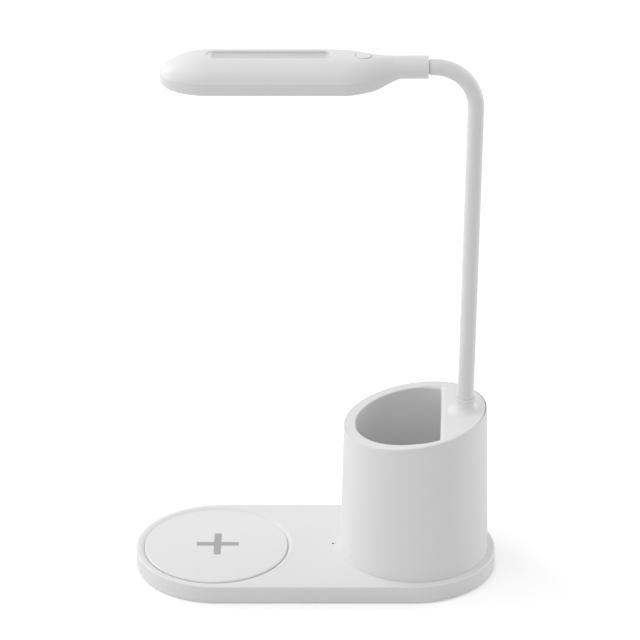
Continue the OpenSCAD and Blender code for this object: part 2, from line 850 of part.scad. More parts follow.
module leds() {
    count = floor((window_far - window_near) / led_pitch);
    start = (window_near + window_far - count * led_pitch) / 2;
    color("khaki") at_head() for (i = [0 : count], row = [0 : led_rows - 1])
        translate([-start - i * led_pitch, (row - (led_rows - 1) / 2) * 14 / led_rows,
                   led_below - led_size.z / 2])
            cube(led_size, center = true);
}

module power_button() {
    color("whitesmoke") at_head() {
        intersection() {
            head_form();
            button_bore(0, button_flange_top - button_flange_height);
        }
        translate([-button_from_socket, 0, button_flange_top - button_flange_height])
            cylinder(h = button_flange_height, r = button_radius + button_flange_lip);
        translate([-button_from_socket, 0, button_post_z])
            cylinder(h = button_flange_top - button_post_z, r = 1.5);
    }
}

module button_switch() {
    color("dimgray") at_head() translate([-button_from_socket, 0, switch_board_top]) {
        translate([0, 0, switch_height / 2]) cube([switch_side, switch_side, switch_height], center = true);
        cylinder(h = switch_height + plunger_height, r = 1.7);
    }
}

module switch_board() {
    color("seagreen") at_head()
        translate([-button_from_socket, 0, switch_board_top - switch_board_size.z / 2])
            cube(switch_board_size, center = true);
}

module neck_collar() {
    color("silver") at_head() translate([-socket_depth, 0, 0]) rotate([0, -90, 0]) difference() {
        cylinder(h = core_tail, r = collar_radius);
        translate([0, 0, -overlap]) cylinder(h = core_tail + 2 * overlap, d = core_diameter);
    }
}

module head_screws() {
    color("silver") at_head() for (place = head_screw_places) screw(place, tray_below);
}

module head_lead() {
    end = socket_depth + core_tail;
    color("dimgray") at_head() lead([
        [-end + 2, 0, 0], [-end - 0.9, 0, 0], [-end - 2, head_lead_y, 0],
        [-head_lead_s, head_lead_y, 0], [-head_lead_s, head_lead_y, tray_below]]);
}

base_top_cover();
base_bottom_cover();
counterweight();
rubber_feet();
base_screws();
charging_pad();
plus_mark();
charging_coil();
ferrite_shield();
charger_board();
usb_c_socket();
status_light_pipe();
cup_shell();
cup_liner();
cup_screws();
neck_ferrule();
neck_nut();
base_lead();
head_top_shell();
head_lower_frame();
diffuser();
reflector_tray();
led_board();
leds();
power_button();
button_switch();
switch_board();
neck_collar();
head_screws();
head_lead();
for (i = [0 : last_link]) neck_sleeve(i);
for (i = [0 : last_link]) neck_core(i);
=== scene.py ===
import json
import math

import bmesh
import bpy
from mathutils import Matrix, Vector
from mathutils.geometry import tessellate_polygon


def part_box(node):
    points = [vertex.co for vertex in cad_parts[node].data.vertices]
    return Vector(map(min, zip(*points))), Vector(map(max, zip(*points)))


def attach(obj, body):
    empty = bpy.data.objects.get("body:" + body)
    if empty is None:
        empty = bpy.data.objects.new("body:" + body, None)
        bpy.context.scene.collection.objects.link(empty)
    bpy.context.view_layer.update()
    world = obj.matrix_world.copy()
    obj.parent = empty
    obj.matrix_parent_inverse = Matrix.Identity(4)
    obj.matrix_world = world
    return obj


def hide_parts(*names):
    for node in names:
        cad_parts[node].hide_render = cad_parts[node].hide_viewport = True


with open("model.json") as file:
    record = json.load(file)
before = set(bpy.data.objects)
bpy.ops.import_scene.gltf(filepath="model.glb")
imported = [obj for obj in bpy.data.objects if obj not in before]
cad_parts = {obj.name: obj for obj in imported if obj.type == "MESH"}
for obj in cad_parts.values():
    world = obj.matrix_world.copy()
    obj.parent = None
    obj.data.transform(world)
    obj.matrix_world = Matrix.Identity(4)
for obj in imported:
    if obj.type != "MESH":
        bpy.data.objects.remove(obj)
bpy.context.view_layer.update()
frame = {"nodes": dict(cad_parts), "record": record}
print("frame loaded")

# Lengths in the dictionaries are millimetres in the CAD frame. Meshes are made in metres.
mm = 0.001


def blendIn(t):
    t = max(0.0, min(1.0, t))
    return t * t * (3 - 2 * t)


# Angles from nothing to a quarter turn
def quarter(steps):
    return [math.pi / 2 * k / steps for k in range(steps + 1)]


# Angles all the way round
def around(steps):
    return [2 * math.pi * i / steps for i in range(steps)]


# Points along the corners, each rounded by its third number
def roundedPath(corners, closed=False, steps=4):
    path = []
    last = len(corners) - 1
    for i, corner in enumerate(corners):
        place = Vector(corner[:2])
        radius = corner[2] if len(corner) > 2 else 0
        if radius <= 0 or (not closed and i in (0, last)):
            path.append(place)
            continue
        back = (Vector(corners[i - 1][:2]) - place).normalized()
        ahead = (Vector(corners[(i + 1) % len(corners)][:2]) - place).normalized()
        half = math.acos(max(-1, min(1, back.dot(ahead)))) / 2
        sweep = math.pi - 2 * half
        centre = place + (back + ahead).normalized() * (radius / math.sin(half))
        first = place + back * (radius / math.tan(half)) - centre
        final = place + ahead * (radius / math.tan(half)) - centre
        for k in range(steps + 1):
            share = k / steps
            part = first * math.sin((1 - share) * sweep) + final * math.sin(share * sweep)
            path.append(centre + part / math.sin(sweep))
    return path


def ring(radius, z, steps, x=0.0, y=0.0):
    return [Vector((x + radius * math.cos(a), y + radius * math.sin(a), z)) for a in around(steps)]


# A ring across the X axis, at s along -X
def crossRing(s, radius, steps):
    return [Vector((-s, radius * math.cos(a), radius * math.sin(a))) for a in around(steps)]


# Outline of a stadium along X, with steps + 1 points on each round end
def stadium(half, radius, z, steps, x=0.0):
    points = []
    for side in (1, -1):
        for i in range(steps + 1):
            a = math.pi * (i / steps - 0.5) + (0 if side > 0 else math.pi)
            points.append(Vector((x + side * half + radius * math.cos(a), radius * math.sin(a), z)))
    return points


class Form:
    def __init__(self):
        self.points = []
        self.faces = []

    def loop(self, points):
        start = len(self.points)
        self.points += [Vector(p) for p in points]
        return list(range(start, len(self.points)))

    def strip(self, loops):
        for low, high in zip(loops, loops[1:]):
            for i in range(len(low)):
                j = (i + 1) % len(low)
                self.faces.append((low[i], low[j], high[j], high[i]))

    # Triangles between a loop and the loops inside it, as seen from above
    def fill(self, outer, *holes):
        flat = [[Vector((self.points[i].x, self.points[i].y, 0)) for i in loop] for loop in (outer, *holes)]
        order = [i for loop in (outer, *holes) for i in loop]
        self.faces += [tuple(order[i] for i in face) for face in tessellate_polygon(flat)]

    def cap(self, loop):
        self.faces.append(tuple(loop))

    # A closed solid along a row of loops. Ends that stand upright are capped, as fill looks from above
    def solid(self, loops, upright=False):
        self.strip(loops)
        close = self.cap if upright else self.fill
        close(loops[0])
        close(loops[-1])

    def mesh(self, name, offset=(0, 0, 0)):
        data = bpy.data.meshes.new(name)
        data.from_pydata([(p + Vector(offset)) * mm for p in self.points], [], self.faces)
        work = bmesh.new()
        work.from_mesh(data)
        bmesh.ops.remove_doubles(work, verts=work.verts, dist=1e-8)
        bmesh.ops.recalc_face_normals(work, faces=work.faces)
        work.to_mesh(data)
        work.free()
        return data


def lathe(profile, steps, place=(0, 0, 0), x=0.0):
    form = Form()
    form.solid([form.loop(ring(radius, z, steps, x)) for radius, z in profile])
    return form.mesh("lathe", place)


def newObject(name, data):
    obj = bpy.data.objects.new(name, data)
    bpy.context.scene.collection.objects.link(obj)
    return obj


# The object with its modifiers applied to its mesh
def baked(obj):
    bpy.context.view_layer.update()
    graph = bpy.context.evaluated_depsgraph_get()
    done = obj.evaluated_get(graph)
    data = bpy.data.meshes.new_from_object(done, preserve_all_data_layers=True, depsgraph=graph)
    data.name = obj.name
    obj.modifiers.clear()
    obj.data = data
    return obj


def carve(obj, operation, *cutters):
    for cutter in cutters:
        tool = newObject("cutter", cutter)
        step = obj.modifiers.new("carve", "BOOLEAN")
        step.operation = operation
        step.solver = "EXACT"
        step.object = tool
        baked(obj)
        bpy.data.objects.remove(tool)
    return obj


def finishMesh(obj, sharp):
    work = bmesh.new()
    work.from_mesh(obj.data)
    bmesh.ops.remove_doubles(work, verts=work.verts, dist=2e-6)
    bmesh.ops.dissolve_degenerate(work, edges=work.edges, dist=1e-6)
    bmesh.ops.recalc_face_normals(work, faces=work.faces)
    work.to_mesh(obj.data)
    work.free()
    obj.data.shade_smooth()
    obj.data.set_sharp_from_angle(angle=math.radians(sharp))
    weigh = obj.modifiers.new("weigh", "WEIGHTED_NORMAL")
    weigh.keep_sharp = True
    return baked(obj)


# A finished piece from a mesh or an object. Edges of more than sharp degrees stay sharp
def piece(name, data, body, slotName, node, sharp=32):
    obj = data if isinstance(data, bpy.types.Object) else newObject(name, data)
    obj.name = name
    finishMesh(obj, sharp)
    obj.data.materials.clear()
    obj.data.materials.append(materials[slotName])
    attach(obj, body)
    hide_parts(node)
    return obj


# Middle of each separate solid in a CAD node, in metres
def islandCentres(node):
    work = bmesh.new()
    work.from_mesh(frame["nodes"][node].data)
    bmesh.ops.remove_doubles(work, verts=work.verts, dist=1e-6)
    centres = []
    seen = set()
    for start in work.verts:
        if start.index in seen:
            continue
        group = [start]
        seen.add(start.index)
        for vert in group:
            for edge in vert.link_edges:
                other = edge.other_vert(vert)
                if other.index not in seen:
                    seen.add(other.index)
                    group.append(other)
        low = Vector([min(v.co[k] for v in group) for k in range(3)])
        high = Vector([max(v.co[k] for v in group) for k in range(3)])
        centres.append((low + high) / 2)
    work.free()
    return centres


# A shader socket that can be used in sums
class Shade:
    def __init__(self, socket):
        self.socket = socket

    def maths(self, kind, first, second):
        made = shaderNode(self.socket.id_data, "ShaderNodeMath", {"operation": kind}, {0: first, 1: second})
        return Shade(made.outputs[0])

    def __add__(self, other):
        return self.maths("ADD", self, other)

    def __radd__(self, other):
        return self.maths("ADD", other, self)

    def __sub__(self, other):
        return self.maths("SUBTRACT", self, other)

    def __rsub__(self, other):
        return self.maths("SUBTRACT", other, self)

    def __mul__(self, other):
        return self.maths("MULTIPLY", self, other)

    def __rmul__(self, other):
        return self.maths("MULTIPLY", other, self)

    def clamp(self):
        made = self + 0.0
        made.socket.node.use_clamp = True
        return made


# Gives a socket a number or colour, or links it to another
def feed(socket, value):
    if isinstance(value, Shade):
        socket.id_data.links.new(value.socket, socket)
    else:
        socket.default_value = value


# A node with its settings, and its inputs by name or number
def shaderNode(tree, kind, settings=None, inputs=None):
    made = tree.nodes.new(kind)
    for key, value in (settings or {}).items():
        setattr(made, key, value)
    for key, value in (inputs or {}).items():
        feed(made.inputs[key], value)
    return made


# Noise in object coordinates, at scale features a metre
def grain(tree, scale, detail, stretch):
    where = Shade(shaderNode(tree, "ShaderNodeTexCoord").outputs["Object"])
    spread = Shade(shaderNode(tree, "ShaderNodeMapping", {}, {"Vector": where, "Scale": stretch}).outputs[0])
    noise = shaderNode(tree, "ShaderNodeTexNoise", {}, {"Vector": spread, "Scale": scale, "Detail": detail})
    return Shade(noise.outputs[0])


def grey(value):
    return (value, value, value)


# What a finish leaves out is as here. The grain is in features a metre, the bump in micrometres, and the
# spreads say how far roughness and colour vary
plainFinish = {"metal": 0, "coat": 0.0, "grain": 2600, "bump": 4, "roughSpread": 0.05,
               "colourSpread": 0.01, "stretch": (1, 1, 1)}
finishes = {
    "white_shell": {"colour": grey(0.83), "rough": 0.42},
    "pad_plastic": {"colour": grey(0.84), "rough": 0.4, "bump": 3, "roughSpread": 0.04},
    "mark_grey": {"colour": grey(0.42), "rough": 0.5, "colourSpread": 0.02},
    "floor_plastic": {"colour": grey(0.78), "rough": 0.6, "grain": 1600, "bump": 14, "roughSpread": 0.08,
                      "colourSpread": 0.02},
    "foot_rubber": {"colour": grey(0.28), "rough": 0.8, "grain": 1500, "bump": 20, "roughSpread": 0.08,
                    "colourSpread": 0.08},
    "screw_steel": {"colour": grey(0.58), "rough": 0.35, "metal": 1, "grain": 900, "bump": 3,
                    "roughSpread": 0.12, "colourSpread": 0.06, "stretch": (1, 1, 6)},
    "ballast_iron": {"colour": (0.2, 0.2, 0.21), "rough": 0.7, "metal": 1, "grain": 700, "bump": 40,
                     "roughSpread": 0.15, "colourSpread": 0.2},
    "coil_copper": {"colour": (0.72, 0.4, 0.22), "rough": 0.3, "metal": 1, "coat": 0.3, "grain": 900,
                    "bump": 20, "roughSpread": 0.1, "colourSpread": 0.12},
    "ferrite": {"colour": (0.11, 0.11, 0.12), "rough": 0.65, "grain": 1500, "bump": 10, "roughSpread": 0.1,
                "colourSpread": 0.1},
    "board_green": {"colour": (0.06, 0.28, 0.14), "rough": 0.4, "coat": 0.2, "grain": 900, "bump": 6,
                    "roughSpread": 0.1, "colourSpread": 0.15},
    "port_steel": {"colour": (0.62, 0.62, 0.64), "rough": 0.3, "metal": 1, "grain": 900, "bump": 3,
                   "roughSpread": 0.1, "colourSpread": 0.05, "stretch": (1, 6, 1)},
    "light_pipe": {"colour": grey(0.03), "rough": 0.25, "coat": 0.4, "grain": 1500, "bump": 2,
                   "colourSpread": 0.05},
    "neck_silicone": {"colour": grey(0.82), "rough": 0.5, "grain": 3000, "bump": 5},
    "neck_steel": {"colour": (0.55, 0.55, 0.56), "rough": 0.4, "metal": 1, "grain": 900, "bump": 20,
                   "roughSpread": 0.1, "colourSpread": 0.08, "stretch": (1, 1, 4)},
    "diffuser_opal": {"colour": grey(0.9), "rough": 0.45, "grain": 2000},
    "tray_white": {"colour": grey(0.88), "rough": 0.25, "coat": 0.2, "grain": 1200, "bump": 3,
                   "colourSpread": 0.02},
    "board_aluminium": {"colour": grey(0.8), "rough": 0.4, "grain": 900, "bump": 3, "roughSpread": 0.08,
                        "colourSpread": 0.03},
    "led_phosphor": {"colour": (0.85, 0.72, 0.3), "rough": 0.35, "coat": 0.5, "grain": 1500, "bump": 8,
                     "roughSpread": 0.08, "colourSpread": 0.1},
    "button_white": {"colour": grey(0.84), "rough": 0.4, "bump": 3, "roughSpread": 0.04},
    "switch_black": {"colour": grey(0.05), "rough": 0.45, "grain": 1500, "bump": 8, "roughSpread": 0.08,
                     "colourSpread": 0.15},
    "lead_grey": {"colour": (0.28, 0.28, 0.3), "rough": 0.55, "grain": 1800, "bump": 8, "roughSpread": 0.08,
                  "colourSpread": 0.08},
    # Painted shade: darker than the shell, standing in for the shade inside the head's recess
    "recess_floor": {"colour": grey(0.67), "rough": 0.5},
}
broadGrain = 14  # How much wider the features are that vary the colour and the roughness


def makeMaterial(name, finish):
    spec = {**plainFinish, **finish}
    material = bpy.data.materials.new(name)
    material.use_nodes = True
    tree = material.node_tree
    skin = tree.nodes["Principled BSDF"].inputs
    fine = grain(tree, spec["grain"], 2.0, spec["stretch"])
    broad = grain(tree, spec["grain"] / broadGrain, 3.0, spec["stretch"])
    dark = [c * (1 - spec["colourSpread"]) for c in spec["colour"]]
    # Inputs 6 and 7 and output 2 of a Mix node are its colours
    mixed = shaderNode(tree, "ShaderNodeMix", {"data_type": "RGBA"},
                       {"Factor": broad, 6: (*dark, 1), 7: (*spec["colour"], 1)})
    bumped = shaderNode(tree, "ShaderNodeBump", {},
                        {"Height": fine, "Distance": spec["bump"] * 1e-6, "Strength": 1.0})
    feed(skin["Base Color"], Shade(mixed.outputs[2]))
    feed(skin["Roughness"], (spec["rough"] - spec["roughSpread"] / 2 + broad * spec["roughSpread"]).clamp())
    feed(skin["Normal"], Shade(bumped.outputs[0]))
    feed(skin["Metallic"], spec["metal"])
    feed(skin["Coat Weight"], spec["coat"])
    return material


materials = {name: makeMaterial(name, finish) for name, finish in finishes.items()}
for row in frame["record"]["subparts"]:
    node = frame["nodes"][row["node"]]
    node.data.materials.clear()
    node.data.materials.append(materials[row["material_slot"]])
print("materials made")


base = {"half": 64.7, "radius": 55.3, "bottom": 1.0, "top": 12.6, "round": 1.0, "footRound": 0.3,
        "shoulder": 0.6, "wall": 2.0, "roof": 2.0, "steps": 80}
light = {"x": 11.7, "y": 2.0, "hole": 0.85, "round": 0.12, "shoulder": 0.25, "steps": 24}
# The opening widens by the second number at the first number past the base's edge
usb = {"x": 0.8, "y": 55.3, "z": 7.53, "flat": 2.84, "radius": 1.78, "steps": 16,
       "flare": ((-4, 0), (-0.35, 0), (-0.12, 0.06), (0, 0.3), (1, 0.9))}


def usbCutter():
    form = Form()
    loops = []
    for y, flare in usb["flare"]:
        outline = stadium(usb["flat"], usb["radius"] + flare, 0, usb["steps"])
        loops.append(form.loop([(usb["x"] + p.x, usb["y"] + y, usb["z"] + p.y) for p in outline]))
    form.solid(loops, upright=True)
    return form.mesh("usbCutter")


def makeBase():
    form = Form()

    def outline(inset, z):
        return form.loop(stadium(base["half"], base["radius"] - inset, z, base["steps"]))

    def padCircle(radius, z):
        return form.loop(ring(radius, z, pad["steps"], pad["x"]))

    def lightCircle(radius, z):
        return form.loop(ring(radius, z, light["steps"], light["x"], light["y"]))

    top = base["top"]
    roofBelow = top - base["roof"]
    grooveTop = pad["hole"] + pad["grooveBevel"]
    side = [outline(*p) for p in roundedPath(
        [(base["wall"], base["bottom"]), (0, base["bottom"], base["footRound"]), (0, top, base["round"]),
         (base["round"] + base["shoulder"], top)])]
    well = [padCircle(*p) for p in roundedPath(
        [(grooveTop + pad["grooveRound"], top), (grooveTop, top, pad["grooveRound"]),
         (pad["hole"], top - pad["grooveDepth"], pad["grooveFoot"]), (pad["hole"], roofBelow),
         (pad["ledgeInner"], roofBelow), (pad["ledgeInner"], pad["ledgeBottom"]),
         (pad["ledgeOuter"], pad["ledgeBottom"]), (pad["ledgeOuter"], roofBelow)])]
    eye = [lightCircle(*p) for p in roundedPath(
        [(light["hole"] + light["shoulder"], top), (light["hole"], top, light["round"]),
         (light["hole"], roofBelow)])]
    inner = [outline(base["wall"], roofBelow), side[0]]
    for loops in (side, well, eye, inner):
        form.strip(loops)
    form.fill(side[-1], well[0], eye[0])
    form.fill(inner[0], well[-1], eye[-1])
    cover = newObject("baseTopCover", form.mesh("baseTopCover"))
    carve(cover, "DIFFERENCE", usbCutter())
    piece("baseTopCover", cover, "base", "white_shell", "base_top_cover")


pad = {"x": -66.5, "radius": 47.95, "bottom": 10.6, "footFlat": 0.5, "footRound": 0.2,
       "bevel": 0.7, "bevelHeight": 0.5, "bevelRound": 0.15, "topRound": 0.3, "shoulder": 0.4,
       "hole": 48.35, "grooveBevel": 2.4, "grooveDepth": 1.2, "grooveRound": 0.3, "grooveFoot": 0.1,
       "ledgeInner": 44.0, "ledgeOuter": 49.45, "ledgeBottom": 9.2, "steps": 200}
# The mark's edge moves in by the first number at the second number below the pad's top
plus = {"x": -65.6, "y": 1.4, "length": 28.0, "width": 4.8, "corner": 0.8, "innerCorner": 0.3, "depth": 0.4,
        "sunkEdge": 0.06, "play": 0.04, "markEdge": ((0, 0.4), (0, 0.07), (0.02, 0.02), (0.07, 0))}


def plusOutline(inset):
    arm = plus["length"] / 2 - inset
    bar = plus["width"] / 2 - inset
    limb = [(arm, bar, plus["corner"]), (bar, bar, plus["innerCorner"]), (bar, arm, plus["corner"])]
    corners = []
    for c, s in ((1, 0), (0, 1), (-1, 0), (0, -1)):
        corners += [(c * x - s * y, s * x + c * y, r) for x, y, r in limb]
    return [(plus["x"] + p.x, plus["y"] + p.y) for p in roundedPath(corners, closed=True, steps=5)]


def plusLoops(form, rows):
    return [form.loop([(x, y, base["top"] - sink) for x, y in plusOutline(inset)]) for inset, sink in rows]


def makePad():
    form = Form()
    radius = pad["radius"]
    topRadius = radius - pad["bevel"]
    side = [form.loop(ring(r, z, pad["steps"], pad["x"])) for r, z in roundedPath(
        [(radius - pad["footFlat"], pad["bottom"]), (radius, pad["bottom"], pad["footRound"]),
         (radius, base["top"] - pad["bevelHeight"], pad["bevelRound"]),
         (topRadius, base["top"], pad["topRound"]), (topRadius - pad["shoulder"], base["top"])])]
    edge = plus["sunkEdge"]
    sunk = plusLoops(form, [(-edge, 0), (0, edge), (0, plus["depth"])])
    form.strip(side)
    form.strip(sunk)
    form.fill(side[0])
    form.fill(side[-1], sunk[0])
    form.fill(sunk[-1])
    piece("chargingPad", form.mesh("chargingPad"), "base", "pad_plastic", "charging_pad")


def makePlusMark():
    form = Form()
    form.solid(plusLoops(form, [(plus["play"] + inset, sink) for inset, sink in plus["markEdge"]]))
    piece("plusMark", form.mesh("plusMark"), "base", "mark_grey", "plus_mark")


makeBase()
makePad()
makePlusMark()
print("base made")


cup = {"x": 65.8, "foot": 49.3, "top": 46.8, "height": 98.1, "slope": 8.7, "wall": 2.2, "rim": 0.6,
       "plate": 2.0, "footRound": 0.3, "rimRound": 0.25, "rimInner": 0.2, "steps": 200}

slantRate = math.tan(math.radians(cup["slope"]))
slantScale = 1 / math.cos(math.radians(cup["slope"]))
slantTop = base["top"] + cup["height"]
coneRate = (cup["foot"] - cup["top"]) / cup["height"]


def slantAt(x, sink=0.0):
    return slantTop + (x - cup["x"]) * slantRate - sink * slantScale


# Radius and height where the cup's cone, moved in by inset, meets the slanted top, moved down by sink
def coneTop(angle, inset, sink):
    high = slantTop - sink * slantScale - base["top"]
    radius = (cup["foot"] - inset - coneRate * high) / (1 + coneRate * slantRate * math.cos(angle))
    return radius, slantAt(cup["x"] + radius * math.cos(angle), sink)


# One loop for each point of the profile, which is a list of corners for each angle
def cupLoops(form, profile):
    columns = [[(cup["x"] + r * math.cos(a), r * math.sin(a), z) for r, z in roundedPath(profile(a))]
               for a in around(cup["steps"])]
    return [form.loop(points) for points in zip(*columns)]


def makeCupShell():
    form = Form()
    loops = cupLoops(form, lambda a: [
        (cup["foot"] - cup["wall"], base["top"]), (cup["foot"], base["top"], cup["footRound"]),
        (*coneTop(a, 0, 0), cup["rimRound"]), (*coneTop(a, cup["rim"], 0), cup["rimInner"]),
        coneTop(a, cup["rim"], cup["plate"]), coneTop(a, cup["wall"], cup["plate"])])
    form.strip(loops + [loops[0]])
    piece("cupShell", form.mesh("cupShell"), "base", "white_shell", "cup_shell")


pocket = {"shift": 0.1, "radius": 39.7, "flat": 16.5, "turn": 2.7, "wall": 1.8, "floor": 14.6, "corner": 2.2,
          "edge": 0.8, "flatEdge": 2.8, "floorRound": 1.0, "edgeSteps": 7, "floorSteps": 5,
          "arcSteps": 120, "cornerSteps": 10, "flatSteps": 40, "fadeSteps": 14}


def polar(radius, a):
    return Vector((radius * math.cos(a), radius * math.sin(a)))


# Points of the pocket's outline with their outward directions, and how much each lies at the flat wall
def pocketOutline():
    corner = pocket["corner"]
    radius = pocket["radius"] - corner
    reach = pocket["flat"] - corner - pocket["shift"]
    meet = math.acos(reach / radius)
    rows = []
    steps = pocket["arcSteps"]
    for i in range(steps + 1):
        a = meet + (2 * math.pi - 2 * meet) * i / steps
        near = min(i, steps - i) / pocket["fadeSteps"]
        rows.append((polar(radius, a), a, max(0.0, 1 - near)))
    steps = pocket["cornerSteps"]
    for i in range(1, steps):
        rows.append((polar(radius, -meet), -meet + meet * i / steps, 1.0))
    for i in range(pocket["flatSteps"] + 1):
        y = radius * math.sin(meet) * (2 * i / pocket["flatSteps"] - 1)
        rows.append((Vector((reach, y)), 0.0, 1.0))
    for i in range(1, steps):
        rows.append((polar(radius, meet), meet * i / steps, 1.0))
    turn = Matrix.Rotation(-math.radians(pocket["turn"]), 2)
    middle = Vector((cup["x"] + pocket["shift"], 0))
    result = []
    for skeleton, a, flat in rows:
        away = turn @ Vector((math.cos(a), math.sin(a)))
        result.append((middle + turn @ skeleton + away * corner, away, flat * flat * (3 - 2 * flat)))
    return result


pocketRows = pocketOutline()


# The pocket's outline, moved out by offset(flat), at height(spot, flat)
def pocketLoop(form, offset, height):
    points = []
    for place, away, flat in pocketRows:
        spot = place + away * offset(flat)
        points.append((spot.x, spot.y, height(spot, flat)))
    return form.loop(points)


# Loops down the inside of the pocket, from its rounded edge to its floor
def pocketInside(form):
    def edgeRound(flat):
        return pocket["edge"] + (pocket["flatEdge"] - pocket["edge"]) * flat

    turnIn = pocket["floorRound"]
    loops = []
    for a in quarter(pocket["edgeSteps"]):
        loops.append(pocketLoop(form, lambda flat: edgeRound(flat) * (1 - math.sin(a)),
                                lambda spot, flat: slantAt(spot.x, edgeRound(flat) * (1 - math.cos(a)))))
    for a in quarter(pocket["floorSteps"]):
        loops.append(pocketLoop(form, lambda flat: -turnIn * (1 - math.cos(a)),
                                lambda spot, flat: pocket["floor"] + turnIn * (1 - math.sin(a))))
    return loops


neck = {"offset": 32.5, "lean": 0.63, "rise": 203.8, "bend": 26.4, "tail": 7.9, "radius": 5.2, "play": 0.15,
        "seat": 8.2, "firstPivot": 30.0, "lastGap": 15.5, "spans": 4, "bends": 5, "sides": 64}
boss = {"height": 8.5, "foot": 12.9, "trim": 0.8, "trimPower": 6, "lipWall": 1.15, "lipHeight": 1.1,
        "lipRound": 0.18, "steps": 12}

neckX = cup["x"] + neck["offset"]
neckRoot = Vector((neckX, 0, slantAt(neckX) + boss["height"]))


# Direction of a line that leans from upright towards +X by turn degrees
def aim(turn):
    return Vector((math.sin(math.radians(turn)), 0, math.cos(math.radians(turn))))


# Loops up the boss's flare, over its lip and down its bore. Its foot is trimmed on the cup's rim side
def bossLoops(form):
    bore = neck["radius"] + neck["play"]
    lipRadius = bore + boss["lipWall"]
    lipBottom = neckRoot.z - boss["lipHeight"]
    loops = []
    for share in quarter(boss["steps"]):
        points = []
        for a in around(neck["sides"]):
            foot = boss["foot"] - boss["trim"] * max(0.0, math.cos(a)) ** boss["trimPower"]
            radius = foot + (lipRadius - foot) * math.sin(share)
            x = neckX + radius * math.cos(a)
            z = slantAt(x) + (lipBottom - slantAt(x)) * (1 - math.cos(share))
            points.append((x, radius * math.sin(a), z))
        loops.append(form.loop(points))
    lip = roundedPath([(lipRadius, lipBottom), (lipRadius, neckRoot.z, boss["lipRound"]),
                       (bore, neckRoot.z, boss["lipRound"]), (bore, neckRoot.z - neck["seat"])])
    return loops + [form.loop(ring(radius, z, neck["sides"], neckX)) for radius, z in lip[1:]]


# The gap inside the cup's rim runs from gapLeast to gap, widest at gapWay radians before +X
liner = {"gap": 0.4, "gapLeast": 0.05, "gapWay": 0.4, "round": 0.25, "shoulder": 0.6}


def linerEdge(a):
    wider = (liner["gap"] - liner["gapLeast"]) * blendIn(0.5 + math.cos(a + liner["gapWay"]))
    inset = cup["rim"] + liner["gapLeast"] + wider
    radius, z = coneTop(a, inset, 0)
    inner = radius - liner["shoulder"]
    return [(inner, slantAt(cup["x"] + inner * math.cos(a))), (radius, z, liner["round"]),
            coneTop(a, inset, cup["plate"])]


def makeCupLiner():
    form = Form()
    plate = cupLoops(form, linerEdge)
    inside = pocketInside(form)
    outside = [pocketLoop(form, lambda flat: pocket["wall"], height)
               for height in (lambda spot, flat: slantAt(spot.x, cup["plate"]),
                              lambda spot, flat: base["top"])]
    flare = bossLoops(form)
    for loops in (plate, inside, outside, flare):
        form.strip(loops)
    form.fill(plate[0], inside[0], flare[0])
    form.fill(plate[-1], outside[0])
    for end in (inside[-1], outside[-1], flare[-1]):
        form.fill(end)
    piece("cupLiner", form.mesh("cupLiner"), "base", "white_shell", "cup_liner")


makeCupShell()
makeCupLiner()
print("cup made")


spacing = (neck["rise"] - neck["firstPivot"] - neck["lastGap"]) / neck["spans"]
bendStep = (90 + neck["lean"]) / neck["bends"]
bendChord = 2 * neck["bend"] * math.tan(math.radians(bendStep / 2))
lastPivot = neckRoot + aim(neck["lean"]) * (neck["rise"] + bendChord / 2)
for k in range(1, neck["bends"]):
    lastPivot += aim(neck["lean"] - k * bendStep) * bendChord
headOrigin = lastPivot - Vector((neck["tail"], 0, 0))

# In the head, s is the distance from the socket's mouth along -X
head = {"length": 167.3, "width": 44.8, "nose": 30.8, "socket": 14.6, "socketLength": 16.0, "taper": 42.5,
        "crown": 8.7, "seam": 3.1, "band": 9.1, "bandSquare": 7, "draft": 1.0, "wall": 1.8,
        "widthCurve": (0.08, 0.78), "crownCurve": (0.25, 1.02), "underCurve": (0.0, 0.47),
        "crownPower": 1.35, "underPower": 0.34, "crownPlump": 2.9, "crownReach": 1.07,
        "mouthDish": 0.4, "dishSteps": 5, "hollowFrom": 31.0, "turns": 144, "taperSteps": 48,
        "noseTurns": (*range(0, 72, 4), 71.5, 75, 78, 81, 83.5, 86, 88), "cutterTop": 3}
# The block that parts the lower frame from the shell has a slanted near end and reaches past the head
parting = {"slant": 16, "under": 1, "past": 5, "halfWidth": 60}

noseStart = head["length"] - head["nose"]
headBottom = -head["seam"] - head["band"]


# How far one of the taper's curves has come at s. It starts after its first share of the taper's length
def headCurve(s, shares):
    return blendIn(((s - head["socketLength"]) / head["taper"] - shares[0]) / shares[1])


# Half width, seam height, rise above the seam and drop below it at s, and the curves that they follow
def headMeasures(s, inset=0.0):
    socket = head["socket"] / 2
    nose = 1.0
    if s > noseStart:
        nose = math.sqrt(max(0.0, 1 - ((s - noseStart) / (head["nose"] - inset)) ** 2))
    wide = headCurve(s, head["widthCurve"])
    deep = headCurve(s, head["underCurve"])
    crown = socket + (head["crown"] - socket) * headCurve(s, head["crownCurve"])
    middle = -head["seam"] * deep
    half = (socket + (head["width"] / 2 - socket) * wide - inset) * nose
    rise = (crown - middle - inset) * nose ** head["crownPower"]
    drop = (socket + (head["band"] - socket) * deep - inset) * nose ** head["underPower"]
    return {"half": half, "middle": middle, "rise": rise, "drop": drop,
            "wide": wide, "deep": deep, "nose": nose}


# Share of the crown's height at a share of its half width, with a crease at the seam where the head is wide
def crownShare(across, wide):
    power = 2 + (head["crownPlump"] - 2) * wide
    reach = 1 + (head["crownReach"] - 1) * wide
    edge = (1 - reach ** -power) ** (1 / power)
    return max(0.0, ((1 - min(1.0, abs(across) / reach) ** power) ** (1 / power) - edge) / (1 - edge))


